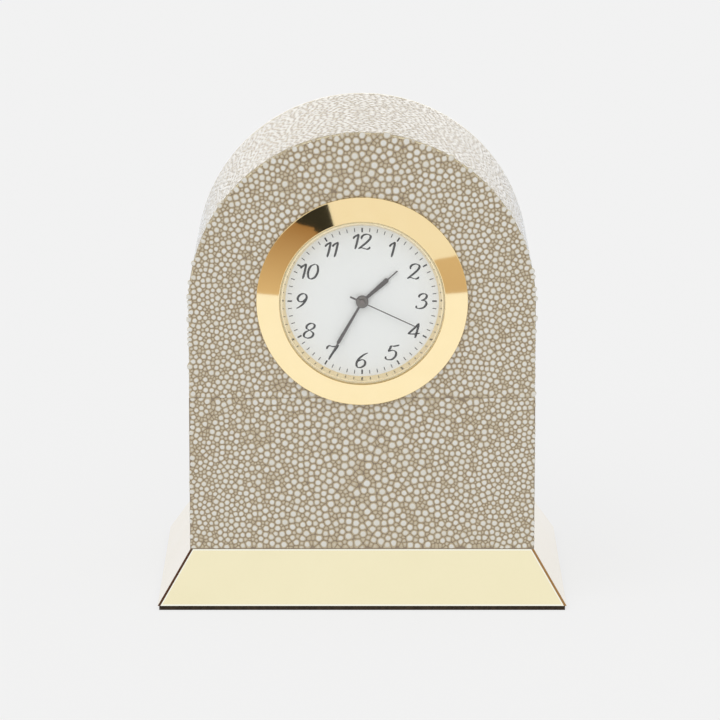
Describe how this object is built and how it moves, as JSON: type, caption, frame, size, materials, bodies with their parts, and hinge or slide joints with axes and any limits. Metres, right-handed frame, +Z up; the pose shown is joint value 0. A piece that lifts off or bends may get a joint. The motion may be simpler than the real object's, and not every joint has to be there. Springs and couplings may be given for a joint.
{
  "type": "beehive shelf clock",
  "caption": "Round-arched desk clock: shagreen-covered block on a flared brass plinth, with a gilt-bezel quartz insert that pulls out and turning hands",
  "frame": {"origin": "centre of the base pad's underside, on the table", "axes": "+X to the right as seen by someone reading the dial, +Y to the back (the dial faces -Y), +Z up from the plinth to the top of the arch"},
  "size_m": [0.1054, 0.0808, 0.1231],
  "materials": {
    "case_board": "plain fibreboard",
    "dowel_wood": "plain turned hardwood",
    "shagreen": "pearl-grained ray skin, ground flat and polished",
    "plinth_brass": "satin polished pale brass",
    "pad_leather": "dark brown matt",
    "screw_steel": "machined",
    "bezel_gilt": "mirror gilt",
    "crystal_glass": "clear polished",
    "dial_white": "satin white with printed black figures",
    "hand_grey": "dark grey satin",
    "cup_plastic": "black moulded",
    "gasket_rubber": "translucent white",
    "plate_plastic": "natural moulded",
    "wheel_brass": "machined",
    "wheel_plastic": "natural moulded",
    "stator_iron": "plain soft iron",
    "winding_copper": "enamelled copper wire",
    "board_laminate": "green lacquered laminate",
    "chip_resin": "black moulded resin",
    "can_nickel": "nickel plated steel",
    "contact_bronze": "bare spring bronze"
  },
  "bodies": {
    "case": {"front_block": "case_board", "middle_block": "case_board", "back_block": "case_board", "dowels": "dowel_wood", "front_upper_skin": "shagreen", "front_lower_skin": "shagreen", "back_upper_skin": "shagreen", "back_lower_skin": "shagreen", "arch_skin": "shagreen", "left_skin": "shagreen", "right_skin": "shagreen", "plinth_core": "case_board", "plinth_front_plate": "plinth_brass", "plinth_back_plate": "plinth_brass", "plinth_left_plate": "plinth_brass", "plinth_right_plate": "plinth_brass", "base_pad": "pad_leather", "plinth_screws": "screw_steel"},
    "insert": {"bezel": "bezel_gilt", "crystal": "crystal_glass", "dial_ring": "bezel_gilt", "dial": "dial_white", "movement_cup": "cup_plastic", "gasket": "gasket_rubber", "main_plate": "plate_plastic", "train_bridge": "plate_plastic", "bridge_screws": "screw_steel", "stator": "stator_iron", "coil_core": "stator_iron", "coil_bobbin": "plate_plastic", "coil_winding": "winding_copper", "circuit_board": "board_laminate", "timing_chip": "chip_resin", "quartz_can": "can_nickel", "battery": "can_nickel", "negative_contact": "contact_bronze", "positive_contact": "contact_bronze"},
    "hour": {"hour_wheel": "wheel_plastic", "hour_hand": "hand_grey"},
    "minute": {"cannon_pinion": "wheel_brass", "minute_hand": "hand_grey"},
    "motion": {"motion_wheel": "wheel_plastic"},
    "setting": {"setting_arbor": "screw_steel", "setting_knob": "cup_plastic"},
    "seconds": {"seconds_wheel": "wheel_brass", "second_hand": "hand_grey"},
    "third": {"third_wheel": "wheel_brass"},
    "centre": {"centre_wheel": "wheel_brass"},
    "intermediate": {"intermediate_wheel": "wheel_plastic"},
    "rotor": {"rotor_pinion": "wheel_plastic", "rotor_magnet": "stator_iron"},
    "battery_cap": {"battery_cap": "cup_plastic"}
  },
  "joints": [
    {"name": "insert_pull", "type": "slide", "parent": "case", "child": "insert", "axis": [0, -1, 0], "range_m": [0, 0.03]},
    {"name": "minute_turn", "type": "hinge", "parent": "insert", "child": "minute", "pos_m": [0, -0.0322, 0.0796], "axis": [0, 1, 0], "continuous": true},
    {"name": "hour_turn", "type": "hinge", "parent": "insert", "child": "hour", "pos_m": [0, -0.0322, 0.0796], "axis": [0, 1, 0], "continuous": true},
    {"name": "motion_turn", "type": "hinge", "parent": "insert", "child": "motion", "pos_m": [-0.00102, -0.0322, 0.08794], "axis": [0, 1, 0], "continuous": true},
    {"name": "setting_turn", "type": "hinge", "parent": "insert", "child": "setting", "pos_m": [-0.00901, -0.0322, 0.09053], "axis": [0, 1, 0], "continuous": true},
    {"name": "seconds_turn", "type": "hinge", "parent": "insert", "child": "seconds", "pos_m": [0, -0.0322, 0.0796], "axis": [0, 1, 0], "continuous": true},
    {"name": "third_turn", "type": "hinge", "parent": "insert", "child": "third", "pos_m": [0.00375, -0.0322, 0.0861], "axis": [0, 1, 0], "continuous": true},
    {"name": "centre_turn", "type": "hinge", "parent": "insert", "child": "centre", "pos_m": [0, -0.0322, 0.0796], "axis": [0, 1, 0], "continuous": true},
    {"name": "intermediate_turn", "type": "hinge", "parent": "insert", "child": "intermediate", "pos_m": [-0.0075, -0.0322, 0.0796], "axis": [0, 1, 0], "continuous": true},
    {"name": "rotor_turn", "type": "hinge", "parent": "insert", "child": "rotor", "pos_m": [-0.00742, -0.0322, 0.0726], "axis": [0, 1, 0], "continuous": true},
    {"name": "battery_cap_turn", "type": "hinge", "parent": "insert", "child": "battery_cap", "pos_m": [0.01179, -0.0156, 0.07252], "axis": [0, 1, 0], "range_deg": [0, 45]}
  ],
  "couplings": [
    {"joint": "hour_turn", "follows": "minute_turn", "ratio": 0.083333},
    {"joint": "motion_turn", "follows": "minute_turn", "ratio": -0.33333},
    {"joint": "setting_turn", "follows": "minute_turn", "ratio": 1},
    {"joint": "third_turn", "follows": "seconds_turn", "ratio": -0.13333},
    {"joint": "centre_turn", "follows": "seconds_turn", "ratio": 0.016667},
    {"joint": "intermediate_turn", "follows": "seconds_turn", "ratio": -5},
    {"joint": "rotor_turn", "follows": "seconds_turn", "ratio": 30}
  ]
}
